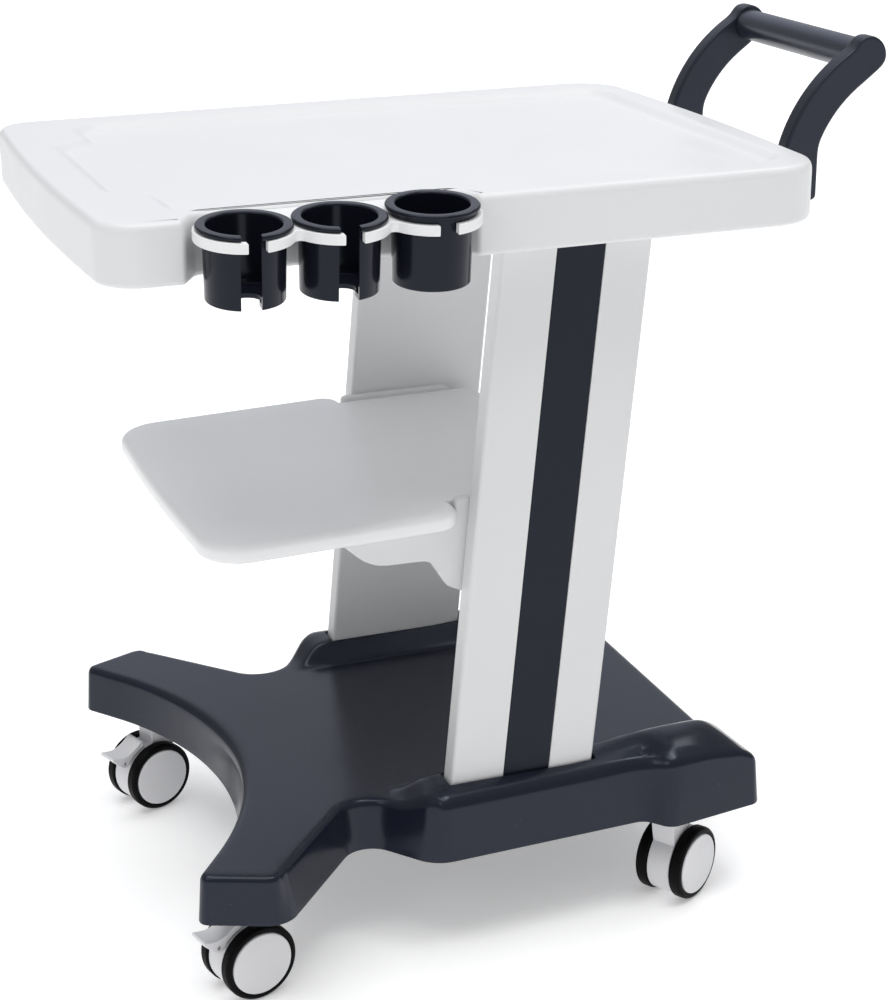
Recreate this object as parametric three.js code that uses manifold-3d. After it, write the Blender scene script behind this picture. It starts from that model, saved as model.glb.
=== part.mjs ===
// Rolling ultrasound trolley: a moulded X-shaped base on four twin-wheel casters, two leaning
// uprights, a shelf between them, a recessed work tray with three probe cups on its right edge,
// and a push handle behind it.  Millimetres, +Z up, -Y is the front, +X is the probe side.
import * as THREE from 'three';
import { mergeVertices } from 'three/addons/utils/BufferGeometryUtils.js';
import Module from 'manifold-3d';

const wasm = await Module();
wasm.setup();

// ---------------------------------------------------------------- driving dimensions
const GAP = 0.3; // running gap between neighbouring pieces

const WHEEL_R = 37.5;
const TREAD_INNER = 13.2; // from the caster's mid plane to the wheel's inner face
const TREAD_OUTER = 26.0;
const HUB_R = 31.0;
const AXLE_R = 4.0;
const TRAIL = 14.0; // swivel axis to axle
const HOUSING_R = 35.5;
const HOUSING_HALF = 12.6;
const FRONT_PIVOT = [199.6, -267.6];
const REAR_PIVOT = [195.5, 159.3];

const BASE_BOTTOM = 99.7;
const BASE_FLOOR = 149.4;
const BASE_WALL = 4.5;
const RAIL_TOP = 168.5;
const HUMP_TOP = 182.5;
const PLATE_BOTTOM = 103.7;
const PLATE_TOP = 107.7;

const UPRIGHT_OUTER = 193.0;
const UPRIGHT_INNER = 170.6;
const UPRIGHT_FRONT = -73.0; // at FOOT_LEVEL
const UPRIGHT_REAR = 74.0;
const FOOT_LEVEL = 167.0;
const LEAN = 50.3 / 512; // rearward shift per unit of height
const UPRIGHT_WALL = 3.0;
const STRIPE_FRONT = -19.4;
const STRIPE_REAR = 27.7;
const STRIPE_DEPTH = 2.2;
const COLUMN = { x0: 175.6, x1: 187.6, half: 50, top: 725 };

const TRAY_BOTTOM = 692.9;
const TRAY_TOP = 746.3;
const TRAY_HALF = 244.7;
const TRAY_FRONT = -397.5;
const TRAY_REAR = 283.0;
const TRAY_WALL = 4.5;
const RECESS_DEPTH = 7.0;
const NOTCH_X = 217.5;
const NOTCH_FRONT = -319;
const NOTCH_REAR = -64;

const SHELF_TOP = 440.0;
const SHELF_BOTTOM = 422.0;
const GUSSET_X0 = 160.9;
const GUSSET_X1 = 170.3;

const ARM_OUTER = 128.0;
const ARM_THICK = 18.0;
const ARM_CENTRE = [439.0, 694.0]; // Y, Z of the common centre of the arm's two arcs
const ARM_R_FRONT = 152.5;
const ARM_R_REAR = 118.5;
const GRIP = [377.5, 817.5]; // Y, Z of the grip tube's axis
const GRIP_END_R = 20.5;
const TUBE_R = 15.2;
const TUBE_BORE = 12.5;
const SHANK = { front: 291, rear: 328.5, bottom: 685 };

const CUP_X = 262.0;
const CUP_Y = [-274.0, -193.3, -112.6];
const CUP_Z = 744.5;
const CUP_TILT = THREE.MathUtils.degToRad(4.5); // cups lean outward at the rim
const CUP = { flangeR: 40, flangeH: 4, bodyR: 34.5, footR: 33.4, boreR: 31, height: 64, floor: 4 };
const CUP_TURN = [-6.5, -4.2, 0]; // how far each cup is turned in its ring, degrees
const CUP_LIFT = [0, 0, 3.2]; // the closed cup stands on a shoulder
const CUP_SLOT = 17;
const RING = { outerR: 42, innerR: 35.2, top: -4.3, bottom: -13.3, gap: 16 };

// ---------------------------------------------------------------- materials
function material(color, roughness, metalness = 0) {
  return new THREE.MeshStandardMaterial({ color, roughness, metalness });
}
const WHITE = material('#eceef1', 0.38);
const NAVY = material('#3b3e4c', 0.3);
const STRIPE = material('#2d2f3a', 0.45);
const TYRE = material('#151517', 0.75);
const HUB = material('#dcdce0', 0.42);
const STEEL = material('#9a9da1', 0.4, 1);
const FRAME = material('#5b5e63', 0.6, 0.6);

// ---------------------------------------------------------------- outlines
// A corner is [x, y, radius]; outlines run counter-clockwise.
function rounded(corners, Kind = THREE.Shape) {
  const shape = new Kind();
  const n = corners.length;
  corners.forEach(([x, y, r], i) => {
    const [ax, ay] = corners[(i + n - 1) % n];
    const [bx, by] = corners[(i + 1) % n];
    const back = new THREE.Vector2(ax - x, ay - y).normalize();
    const ahead = new THREE.Vector2(bx - x, by - y).normalize();
    const half = Math.acos(THREE.MathUtils.clamp(back.dot(ahead), -1, 1)) / 2;
    if (!r || half > 1.565) {
      if (i === 0) shape.moveTo(x, y);
      else shape.lineTo(x, y);
      return;
    }
    const run = r / Math.tan(half);
    const middle = back.clone().add(ahead).normalize().multiplyScalar(r / Math.sin(half));
    const cx = x + middle.x;
    const cy = y + middle.y;
    const from = Math.atan2(y + back.y * run - cy, x + back.x * run - cx);
    const left = back.x * ahead.y - back.y * ahead.x < 0;
    const sweep = Math.PI - 2 * half;
    const pieces = Math.max(1, Math.round((r * sweep) / 140));
    for (let k = 0; k < pieces; k += 1) {
      const step = (left ? sweep : -sweep) / pieces;
      shape.absarc(cx, cy, r, from + k * step, from + (k + 1) * step, !left);
    }
  });
  shape.closePath();
  return shape;
}

// The same outline moved inward by d, with its corner radii following.
function inset(corners, d) {
  const n = corners.length;
  return corners.map(([x, y, r], i) => {
    const [ax, ay] = corners[(i + n - 1) % n];
    const [bx, by] = corners[(i + 1) % n];
    const u = new THREE.Vector2(x - ax, y - ay).normalize();
    const v = new THREE.Vector2(bx - x, by - y).normalize();
    const turn = u.x * v.y - u.y * v.x;
    const k = d / (1 + u.dot(v));
    const px = x + k * (-u.y - v.y);
    const py = y + k * (u.x + v.x);
    return [px, py, Math.max(0, turn > 0 ? r - d : r + d)];
  });
}

function mirrored(half) {
  const other = half.filter(([x]) => x > 0).map(([x, y, r]) => [-x, y, r]);
  return [...half, ...other.reverse()];
}

function box2(x0, y0, x1, y1, r = 0) {
  return [[x0, y0, r], [x1, y0, r], [x1, y1, r], [x0, y1, r]];
}

// ---------------------------------------------------------------- solids
function solid(geometry) {
  const bare = geometry.clone();
  bare.deleteAttribute('normal');
  bare.deleteAttribute('uv');
  const merged = mergeVertices(bare, 1e-4);
  const vertProperties = Float32Array.from(merged.attributes.position.array);
  const corners = Array.from(merged.index.array);
  const triangles = corners.filter((_, i) => {
    const [a, b, c] = corners.slice(i - (i % 3), i - (i % 3) + 3);
    return a !== b && b !== c && c !== a;
  });
  const triVerts = Uint32Array.from(triangles);
  return new wasm.Manifold(new wasm.Mesh({ numProp: 3, vertProperties, triVerts }));
}

function geometryOf(manifold) {
  const data = manifold.getMesh();
  const geometry = new THREE.BufferGeometry();
  geometry.setAttribute('position', new THREE.BufferAttribute(Float32Array.from(data.vertProperties), 3));
  geometry.setIndex(new THREE.BufferAttribute(Uint32Array.from(data.triVerts), 1));
  const flat = geometry.toNonIndexed();
  flat.computeVertexNormals();
  return flat;
}

// An outline in X and Y, raised from z0 to z1, with softened edges of size soft.
function slab(shape, z0, z1, { soft = 0, deep = soft, steps = 1, curve = 2 } = {}) {
  const geometry = new THREE.ExtrudeGeometry(shape, {
    depth: z1 - z0 - 2 * deep,
    curveSegments: curve,
    bevelEnabled: soft > 0,
    bevelSize: soft,
    bevelOffset: -soft,
    bevelThickness: deep,
    bevelSegments: steps,
  });
  return geometry.translate(0, 0, z0 + deep);
}

// An outline in Y and Z, run along X from x0 to x1.
function alongX(shape, x0, x1, options) {
  const geometry = slab(shape, x0, x1, options);
  const yzx = new THREE.Matrix4().makeBasis(
    new THREE.Vector3(0, 1, 0),
    new THREE.Vector3(0, 0, 1),
    new THREE.Vector3(1, 0, 0),
  );
  return geometry.applyMatrix4(yzx);
}

// An outline in X and Z, run along Y from y0 to y1.
function alongY(shape, y0, y1, options) {
  const geometry = slab(shape, -y1, -y0, options);
  const xzy = new THREE.Matrix4().makeBasis(
    new THREE.Vector3(1, 0, 0),
    new THREE.Vector3(0, 0, 1),
    new THREE.Vector3(0, -1, 0),
  );
  return geometry.applyMatrix4(xzy);
}

function boxGeometry(x0, y0, z0, x1, y1, z1) {
  const geometry = new THREE.BoxGeometry(x1 - x0, y1 - y0, z1 - z0);
  return geometry.translate((x0 + x1) / 2, (y0 + y1) / 2, (z0 + z1) / 2);
}

function rod(radius, z0, z1, sides = 24) {
  const geometry = new THREE.CylinderGeometry(radius, radius, z1 - z0, sides);
  return geometry.rotateX(Math.PI / 2).translate(0, 0, (z0 + z1) / 2);
}

// A profile of [radius, height] turned about the Z axis.
function turned(profile, sides) {
  const points = profile.map(([r, z]) => new THREE.Vector2(r, z));
  return new THREE.LatheGeometry(points, sides).rotateX(Math.PI / 2);
}

const leaning = new THREE.Matrix4().makeShear(0, 0, 0, 0, 0, LEAN);
function lean(geometry) {
  return geometry.translate(0, 0, -FOOT_LEVEL).applyMatrix4(leaning).translate(0, 0, FOOT_LEVEL);
}

const trolley = new THREE.Group();
function add(name, shape, look, parent = trolley) {
  const geometry = geometryOf(shape.isBufferGeometry ? solid(shape) : shape);
  const mesh = new THREE.Mesh(geometry, look);
  mesh.name = name;
  parent.add(mesh);
  return mesh;
}

// ---------------------------------------------------------------- base cover and plate
// The front edge is one hollow arc between the two front legs; behind them the sides draw in
// to a waist, run straight past the uprights and swell again over the rear casters.
const baseOutline = mirrored([
  [0, -160.3, 341],
  [242, -340.5, 10],
  [275, -262, 28],
  [151.7, -153.3, 27],
  [221.5, -99.3, 38],
  [213.8, 122, 18],
  [237.5, 140, 18],
  [221.5, 247, 12],
]);

// The raised rails under the uprights and the higher humps over the rear casters: one outline
// seen from the side, cut to a second outline seen from the front.
const humpSide = [
  [-123, 134, 0], [238, 134, 0], [235, 158, 10], [208, HUMP_TOP, 34],
  [150, HUMP_TOP, 110], [52, RAIL_TOP, 110], [-88, RAIL_TOP, 26],
];
const railFront = [
  [148, 134, 0], [221, 134, 0], [212, 156, 7], [184, 177, 14], [172, 177, 8], [152, 150, 24],
];
const humpFront = [
  [148, 134, 0], [242, 134, 0], [232, 155, 8], [203, 184, 30], [180, 184, 18], [152, 150, 24],
];
const STEP_Y = 131;

function baseBody(d) {
  const outline = inset(baseOutline, d);
  const soft = d ? 0 : 8;
  let body = solid(slab(rounded(outline), BASE_BOTTOM - 20, BASE_FLOOR - d, { soft }));
  const limit = solid(slab(rounded(inset(outline, d ? 0 : 1.5)), BASE_BOTTOM, HUMP_TOP + 5));
  const side = inset(humpSide, d);
  for (const hand of [1, -1]) {
    const lengthwise = solid(alongX(rounded(side), hand > 0 ? 100 : -240, hand > 0 ? 240 : -100));
    for (const [shape, y0, y1] of [[railFront, -200, STEP_Y], [humpFront, STEP_Y - 0.5, 260]]) {
      const across = inset(shape, d).map(([x, z, r]) => [hand * x, z, r]);
      const ridge = solid(alongY(rounded(hand > 0 ? across : across.reverse()), y0, y1));
      body = body.add(lengthwise.intersect(ridge).intersect(limit));
    }
  }
  return body;
}

const footHole = lean(slab(rounded(box2(0, UPRIGHT_FRONT - 2.5, 1, UPRIGHT_REAR + 2.5)), 90, 230));
let cover = baseBody(0).subtract(baseBody(BASE_WALL));
cover = cover.subtract(solid(boxGeometry(-300, -400, 0, 300, 400, BASE_BOTTOM)));
for (const side of [1, -1]) {
  const low = side > 0 ? UPRIGHT_INNER - 1.2 : -UPRIGHT_OUTER - 1.2;
  const wide = UPRIGHT_OUTER - UPRIGHT_INNER + 2.4;
  cover = cover.subtract(solid(footHole.clone().scale(wide, 1, 1).translate(low, 0, 0)));
}
add('base_cover', cover, NAVY);

let plate = solid(slab(rounded(inset(baseOutline, 8)), PLATE_BOTTOM, PLATE_TOP));
for (const [x, y] of [FRONT_PIVOT, REAR_PIVOT]) {
  for (const side of [1, -1]) {
    plate = plate.subtract(solid(rod(6.2, PLATE_BOTTOM - 5, PLATE_TOP + 5, 12).translate(side * x, y, 0)));
  }
}
add('base_plate', plate, FRAME);

// ---------------------------------------------------------------- uprights
for (const [side, tag] of [[1, 'right'], [-1, 'left']]) {
  const span = (a, b) => (side > 0 ? [a, b] : [-b, -a]);
  const block = (a, b, y0, y1, z0, z1, r = 0) => {
    const [x0, x1] = span(a, b);
    return lean(slab(rounded(box2(x0, y0, x1, y1, r)), z0, z1));
  };
  const top = TRAY_BOTTOM - GAP;
  const bottom = PLATE_TOP + GAP;
  const wall = UPRIGHT_WALL;
  let panel = solid(block(UPRIGHT_INNER, UPRIGHT_OUTER, UPRIGHT_FRONT, UPRIGHT_REAR, bottom, top, 5));
  panel = panel.subtract(solid(block(
    UPRIGHT_INNER + wall, UPRIGHT_OUTER - STRIPE_DEPTH - 2,
    UPRIGHT_FRONT + wall, UPRIGHT_REAR - wall, bottom - 5, top + 5, 2,
  )));
  panel = panel.subtract(solid(block(
    UPRIGHT_OUTER - STRIPE_DEPTH, UPRIGHT_OUTER + 5,
    STRIPE_FRONT - GAP, STRIPE_REAR + GAP, bottom - 5, top + 5,
  )));
  add(`upright_${tag}`, panel, WHITE);
  add(`stripe_${tag}`, block(
    UPRIGHT_OUTER - STRIPE_DEPTH + GAP, UPRIGHT_OUTER - 0.5,
    STRIPE_FRONT, STRIPE_REAR, bottom, top,
  ), STRIPE);
  add(`column_${tag}`, block(COLUMN.x0, COLUMN.x1, -COLUMN.half, COLUMN.half, bottom, COLUMN.top), FRAME);
}

// ---------------------------------------------------------------- tray
// Front and rear edges bow outward a little; the right edge is set back behind the probe cups.
const trayOutline = [
  [0, TRAY_FRONT - 1.2, 3000], [TRAY_HALF, TRAY_FRONT + 11, 38],
  [TRAY_HALF, NOTCH_FRONT, 6], [NOTCH_X, NOTCH_FRONT + 16, 14],
  [NOTCH_X, NOTCH_REAR - 16, 14], [TRAY_HALF, NOTCH_REAR, 6],
  [TRAY_HALF, TRAY_REAR - 9, 52], [0, TRAY_REAR + 1, 2400],
  [-TRAY_HALF, TRAY_REAR - 9, 52], [-TRAY_HALF, TRAY_FRONT + 11, 38],
];
// The recess reaches further forward in the middle.
const recessOutline = mirrored([
  [112, -352, 22], [128, -318, 22], [207, -318, 26], [207, 250, 34],
]);

const trayFloor = TRAY_TOP - RECESS_DEPTH;
let trayTop = solid(slab(rounded(trayOutline), TRAY_BOTTOM, TRAY_TOP, { soft: 5.5, deep: 9, steps: 2 }));
const hollow = inset(trayOutline, TRAY_WALL + 1);
trayTop = trayTop.subtract(solid(slab(rounded(hollow), TRAY_BOTTOM - 5, trayFloor - TRAY_WALL)));
const recess = slab(rounded(recessOutline), trayFloor, TRAY_TOP + 20, { soft: 6, deep: 7 });
trayTop = trayTop.subtract(solid(recess));
add('tray_top', trayTop, WHITE);

const underTop = TRAY_BOTTOM + 4.2;
let under = solid(slab(rounded(inset(hollow, 0.5)), TRAY_BOTTOM + GAP, underTop));
for (const side of [1, -1]) {
  const x0 = side > 0 ? COLUMN.x0 - 1 : -COLUMN.x1 - 1;
  const x1 = side > 0 ? COLUMN.x1 + 1 : -COLUMN.x0 + 1;
  const slot = slab(rounded(box2(x0, -COLUMN.half - 1.5, x1, COLUMN.half + 1.5)), 650, 740);
  under = under.subtract(solid(lean(slot)));
}
add('tray_underplate', under, WHITE);

for (const [side, tag] of [[1, 'right'], [-1, 'left']]) {
  const low = underTop + GAP;
  const middle = side * (COLUMN.x0 + COLUMN.x1) / 2;
  const outer = solid(boxGeometry(middle - 12, -230, low, middle + 12, 245, low + 34));
  const inner = solid(boxGeometry(middle - 9.5, -240, low - 5, middle + 9.5, 255, low + 31.5));
  add(`tray_beam_${tag}`, outer.subtract(inner), FRAME);
}
for (const [y, tag] of [[-190, 'front'], [222, 'rear']]) {
  const reach = COLUMN.x0 - 6.2;
  const low = underTop + GAP;
  add(`tray_crossbar_${tag}`, boxGeometry(-reach, y - 12, low, reach, y + 12, low + 24), FRAME);
}

// ---------------------------------------------------------------- shelf and its gussets
const shelfHalf = 190;
const shelfNeck = GUSSET_X0 - GAP;
const shelfOutline = mirrored([
  [0, -303, 2600], [shelfHalf, -297, 36], [shelfHalf, -59, 20],
  [shelfNeck, -59, 0], [shelfNeck, 92, 6],
]);
add('shelf', solid(slab(rounded(shelfOutline), SHELF_BOTTOM, SHELF_TOP, { soft: 5, deep: 6 })), WHITE);

// Seen from the side: a shallow scallop under the shelf, then a second one down the upright,
// with a tab that rises beside the shelf's neck.
const gussetOutline = [
  [-174, SHELF_BOTTOM - GAP, 2], [-141, 391.5, 44], [-84, 390, 14], [-67, 362, 12], [-46, 352, 14],
  [-18, 352, 14], [4, 398, 40], [60, 404, 10], [62, 447.5, 6], [-58.7, 447.5, 5],
  [-58.7, SHELF_BOTTOM - GAP, 0],
];
for (const [side, tag] of [[1, 'right'], [-1, 'left']]) {
  const x0 = side > 0 ? GUSSET_X0 : -GUSSET_X1;
  const x1 = side > 0 ? GUSSET_X1 : -GUSSET_X0;
  add(`gusset_${tag}`, alongX(rounded(gussetOutline), x0, x1), WHITE);
}

// ---------------------------------------------------------------- handle
// Each arm is a band between two arcs with a round end for the grip and a straight shank below.
function armShape() {
  const [cy, cz] = ARM_CENTRE;
  const away = Math.atan2(GRIP[1] - cz, GRIP[0] - cy);
  const shape = new THREE.Shape();
  const frontFoot = Math.PI - Math.asin((733 - cz) / ARM_R_FRONT);
  const rearFoot = Math.PI - Math.asin((737 - cz) / ARM_R_REAR);
  shape.moveTo(SHANK.front, SHANK.bottom);
  shape.lineTo(SHANK.rear - 5, SHANK.bottom);
  shape.absarc(SHANK.rear - 5, SHANK.bottom + 5, 5, -Math.PI / 2, 0, false);
  shape.lineTo(SHANK.rear, 730);
  shape.absarc(cy, cz, ARM_R_REAR, rearFoot, away + 0.12, true);
  shape.absarc(GRIP[0], GRIP[1], GRIP_END_R, away - Math.PI + 0.75, away - 0.35 + Math.PI * 0.15, false);
  shape.absarc(cy, cz, ARM_R_FRONT, away + 0.04, frontFoot, false);
  shape.closePath();
  return shape;
}
const armX = { right: ARM_OUTER - ARM_THICK, left: -ARM_OUTER };
const rodHole = rod(5, -200, 200, 16).rotateY(Math.PI / 2).translate(0, GRIP[0], GRIP[1]);
for (const tag of ['right', 'left']) {
  const arm = alongX(armShape(), armX[tag], armX[tag] + ARM_THICK, { soft: 2.5, curve: 4 });
  const reach = boxGeometry(-ARM_OUTER + 6, 300, 700, ARM_OUTER - 6, 450, 900);
  const blindHole = solid(rodHole).intersect(solid(reach));
  add(`handle_arm_${tag}`, solid(arm).subtract(blindHole), NAVY);
}
const tubeHalf = ARM_OUTER - ARM_THICK - GAP;
const tubeOuter = rod(TUBE_R, -tubeHalf, tubeHalf, 24);
const tubeInner = rod(TUBE_BORE, -tubeHalf - 5, tubeHalf + 5, 16);
const tube = solid(tubeOuter).subtract(solid(tubeInner));
const tubeMesh = add('handle_tube', tube, NAVY);
tubeMesh.rotation.y = Math.PI / 2;
tubeMesh.position.set(0, GRIP[0], GRIP[1]);
const tie = add('handle_tie_rod', rod(4.5, -ARM_OUTER + 6.5, ARM_OUTER - 6.5, 12), STEEL);
tie.rotation.y = Math.PI / 2;
tie.position.set(0, GRIP[0], GRIP[1]);

const bracketShape = rounded([
  [214, 688.6, 0], [SHANK.front - GAP, 688.6, 3], [SHANK.front - GAP, 734, 0],
  [SHANK.front - 4.3, 734, 0], [SHANK.front - 4.3, TRAY_BOTTOM - GAP, 1], [214, TRAY_BOTTOM - GAP, 0],
]);
for (const tag of ['right', 'left']) {
  add(`handle_bracket_${tag}`, alongX(bracketShape, armX[tag] + 1, armX[tag] + ARM_THICK - 1), STEEL);
}

// ---------------------------------------------------------------- probe cups and their bracket
function seated(geometry, y, turn = 0) {
  return geometry.rotateZ(turn).rotateY(CUP_TILT).translate(CUP_X, y, CUP_Z);
}
const cupSides = 28;
const cupNames = ['front', 'middle', 'rear'];
cupNames.forEach((tag, i) => {
  const closed = CUP_LIFT[i] > 0;
  const lip = CUP.flangeH - CUP_LIFT[i]; // depth of the flange's underside
  const shoulder = closed ? [[37.5, -CUP.flangeH], [37.5, -lip]] : [];
  const profile = [
    [0, -CUP.height], [CUP.footR - 1.5, -CUP.height], [CUP.footR, -CUP.height + 1.5],
    [CUP.bodyR, -CUP.flangeH], ...shoulder,
    [CUP.flangeR - 1, -lip], [CUP.flangeR, 1.2 - lip], [CUP.flangeR - 1, 3.4 - lip],
    [CUP.flangeR - 3, 4 - lip], [CUP.boreR + 2, 4 - lip], [CUP.boreR, 2.4 - lip],
    [CUP.boreR - 0.6, -CUP.height + CUP.floor], [0, -CUP.height + CUP.floor],
  ];
  let cup = solid(turned(profile, cupSides));
  if (!closed) {
    const half = CUP_SLOT / 2;
    const slot = boxGeometry(20, -half, -80, 60, half, 20);
    const throat = boxGeometry(8, -half, -80, 60, half, -CUP.height + CUP.floor + 1);
    const hole = rod(11.5, -80, -CUP.height + CUP.floor + 1, 24).translate(10, 0, 0);
    cup = cup.subtract(solid(slot)).subtract(solid(throat)).subtract(solid(hole));
  }
  const turn = THREE.MathUtils.degToRad(CUP_TURN[i]);
  add(`probe_cup_${tag}`, seated(geometryOf(cup), CUP_Y[i], turn), NAVY);
});

let bracket = solid(boxGeometry(NOTCH_X + GAP, CUP_Y[0] - 14, 722, NOTCH_X + 8, CUP_Y[2] + 14, 739.5));
for (const y of CUP_Y) {
  bracket = bracket.add(solid(seated(rod(RING.outerR, RING.bottom, RING.top, cupSides), y)));
}
bracket = bracket.subtract(solid(boxGeometry(150, -400, 700, NOTCH_X + GAP, 0, 760)));
for (const y of CUP_Y) {
  bracket = bracket.subtract(solid(seated(rod(RING.innerR, RING.bottom - 20, RING.top + 20, cupSides), y)));
  const mouth = boxGeometry(20, -RING.gap / 2, -30, 60, RING.gap / 2, 10);
  bracket = bracket.subtract(solid(seated(mouth, y)));
}
add('probe_bracket', bracket, WHITE);

// ---------------------------------------------------------------- casters
// Each caster is built with its swivel axis on Z, the axle along X and the wheels at y = -TRAIL.
const tyreProfile = [
  [HUB_R + GAP, TREAD_INNER], [WHEEL_R - 3.5, TREAD_INNER], [WHEEL_R, TREAD_INNER + 4],
  [WHEEL_R, TREAD_OUTER - 4], [WHEEL_R - 3.5, TREAD_OUTER], [HUB_R + GAP, TREAD_OUTER],
  [HUB_R + GAP, TREAD_INNER],
];
const hubProfile = [
  [AXLE_R + GAP, TREAD_INNER], [HUB_R, TREAD_INNER], [HUB_R, TREAD_OUTER],
  [HUB_R - 1.6, TREAD_OUTER + 1.2], [0, TREAD_OUTER + 2.2],
  [0, TREAD_OUTER - 2], [AXLE_R + GAP, TREAD_OUTER - 2], [AXLE_R + GAP, TREAD_INNER],
];
// The brake pedal is a visor over the housing's upper trailing side, hinged on a lug of the housing.
// These outlines are measured from the axle along Y and Z.
const PIN = [-37, 23];
const VISOR_R = 38.3;
const toWheel = new THREE.Vector2(-PIN[0], -PIN[1]).normalize();
function finger(radius, reach) {
  const across = new THREE.Vector2(-toWheel.y, toWheel.x).multiplyScalar(radius);
  const away = Math.atan2(across.y, across.x);
  const shape = new THREE.Shape();
  shape.absarc(PIN[0], PIN[1], radius, away, away + Math.PI, false);
  shape.lineTo(PIN[0] + reach * toWheel.x - across.x, PIN[1] + reach * toWheel.y - across.y);
  shape.lineTo(PIN[0] + reach * toWheel.x + across.x, PIN[1] + reach * toWheel.y + across.y);
  shape.closePath();
  return shape;
}
function onCaster(geometry) {
  return solid(geometry.translate(0, -TRAIL, WHEEL_R));
}
function crossBore(radius, sides) {
  return rod(radius, -20, 20, sides).rotateY(Math.PI / 2);
}

function casterHousing(braked) {
  const round = new THREE.Shape();
  round.absarc(0, 0, HOUSING_R, 0, Math.PI * 2, false);
  let body = onCaster(alongX(round, -HOUSING_HALF, HOUSING_HALF, { curve: 8 }));
  const neck = rounded([[-15, 62, 0], [8, 52, 0], [13, 74, 8], [15, 90, 3], [-16, 90, 3], [-16, 74, 4]]);
  body = body.add(solid(alongX(neck, -HOUSING_HALF, HOUSING_HALF)));
  body = body.add(solid(rod(16, 88, 96.6, 16)));
  body = body.subtract(solid(rod(5.9, 55, 120, 12)));
  body = body.subtract(onCaster(crossBore(AXLE_R + GAP, 12)));
  if (braked) {
    body = body.add(onCaster(alongX(finger(4.5, 14), -4, 4)));
    body = body.subtract(onCaster(crossBore(1.9, 8).translate(0, PIN[0], PIN[1])));
  }
  return body;
}

function brakePedal() {
  const outline = new THREE.Shape();
  outline.moveTo(-31.6, 21.6);
  outline.absarc(0, 0, VISOR_R, Math.PI - 0.6, Math.PI / 2 + 0.34, true);
  outline.lineTo(-13.8, 42.4);
  outline.quadraticCurveTo(-15.5, 43.2, -17.5, 42);
  outline.quadraticCurveTo(-29, 31.5, -38, 31);
  outline.quadraticCurveTo(-45, 31, -51, 33);
  outline.quadraticCurveTo(-53.5, 31.5, -51.5, 29);
  outline.lineTo(-41.5, 19.5);
  outline.quadraticCurveTo(-36.5, 15.8, -31.6, 21.6);
  const width = HOUSING_HALF - 0.2;
  let body = onCaster(alongX(outline, -width, width, { curve: 4 }));
  body = body.subtract(onCaster(alongX(finger(6, 20), -4.5, 4.5)));
  return body.subtract(onCaster(crossBore(1.9, 8).translate(0, PIN[0], PIN[1])));
}

const stemProfile = [
  [0, 60], [5.5, 60], [5.5, 97.2], [17, 97.2], [17, PLATE_BOTTOM - GAP], [5.8, PLATE_BOTTOM - GAP],
  [5.8, 118], [4.8, 119.5], [0, 119.5],
];
const casters = [
  { tag: 'front_right', x: FRONT_PIVOT[0], y: FRONT_PIVOT[1], angle: 14.4, brake: true },
  { tag: 'front_left', x: -FRONT_PIVOT[0], y: FRONT_PIVOT[1], angle: 20.4, brake: true },
  { tag: 'rear_right', x: REAR_PIVOT[0], y: REAR_PIVOT[1], angle: 212.4, brake: false },
  { tag: 'rear_left', x: -REAR_PIVOT[0], y: REAR_PIVOT[1], angle: 155, brake: false },
];
for (const { tag, x, y, angle, brake } of casters) {
  const caster = new THREE.Group();
  caster.position.set(x, y, 0);
  caster.rotation.z = THREE.MathUtils.degToRad(angle);
  trolley.add(caster);
  add(`caster_stem_${tag}`, turned(stemProfile, 12), STEEL, caster);
  add(`caster_housing_${tag}`, casterHousing(brake), HUB, caster);
  const axleHalf = TREAD_OUTER - 2.5;
  const axle = add(`caster_axle_${tag}`, rod(AXLE_R, -axleHalf, axleHalf, 12), STEEL, caster);
  axle.rotation.y = Math.PI / 2;
  axle.position.set(0, -TRAIL, WHEEL_R);
  for (const [side, end] of [[1, 'a'], [-1, 'b']]) {
    const wheel = new THREE.Group();
    wheel.position.set(0, -TRAIL, WHEEL_R);
    wheel.rotation.y = side * Math.PI / 2;
    caster.add(wheel);
    add(`tyre_${tag}_${end}`, turned(tyreProfile, 24), TYRE, wheel);
    add(`hub_${tag}_${end}`, turned(hubProfile, 18), HUB, wheel);
  }
  if (brake) {
    add(`brake_pedal_${tag}`, brakePedal(), HUB, caster);
    const pin = add(`brake_pin_${tag}`, rod(1.5, -11.6, 11.6, 8), STEEL, caster);
    pin.rotation.y = Math.PI / 2;
    pin.position.set(0, PIN[0] - TRAIL, PIN[1] + WHEEL_R);
  }
}

// The origin is on the floor, under the middle of the trolley's bounding box.
const extent = new THREE.Box3().setFromObject(trolley, true);
trolley.position.set(-(extent.min.x + extent.max.x) / 2, -(extent.min.y + extent.max.y) / 2, -extent.min.z);

export default trolley;
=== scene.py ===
import math

import bmesh
import bpy
import numpy as np
from mathutils import Matrix, Vector
from mathutils.geometry import delaunay_2d_cdt, tessellate_polygon


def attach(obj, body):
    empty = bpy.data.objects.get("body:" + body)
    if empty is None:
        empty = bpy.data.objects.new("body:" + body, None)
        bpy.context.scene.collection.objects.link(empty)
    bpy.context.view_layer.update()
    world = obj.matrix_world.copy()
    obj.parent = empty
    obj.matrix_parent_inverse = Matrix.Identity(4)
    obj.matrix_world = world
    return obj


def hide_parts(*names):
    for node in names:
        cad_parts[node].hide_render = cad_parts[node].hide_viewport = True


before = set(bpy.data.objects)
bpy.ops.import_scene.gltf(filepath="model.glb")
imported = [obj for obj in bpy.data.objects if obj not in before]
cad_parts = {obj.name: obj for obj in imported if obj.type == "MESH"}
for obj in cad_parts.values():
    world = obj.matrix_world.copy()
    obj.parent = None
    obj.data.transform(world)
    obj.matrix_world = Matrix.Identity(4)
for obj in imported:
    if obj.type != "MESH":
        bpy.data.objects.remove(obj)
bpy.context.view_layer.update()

# Shapes are drawn in millimetres about the trolley's own middle: +X is the probe side, -Y the front.
MM = 0.001
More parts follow.
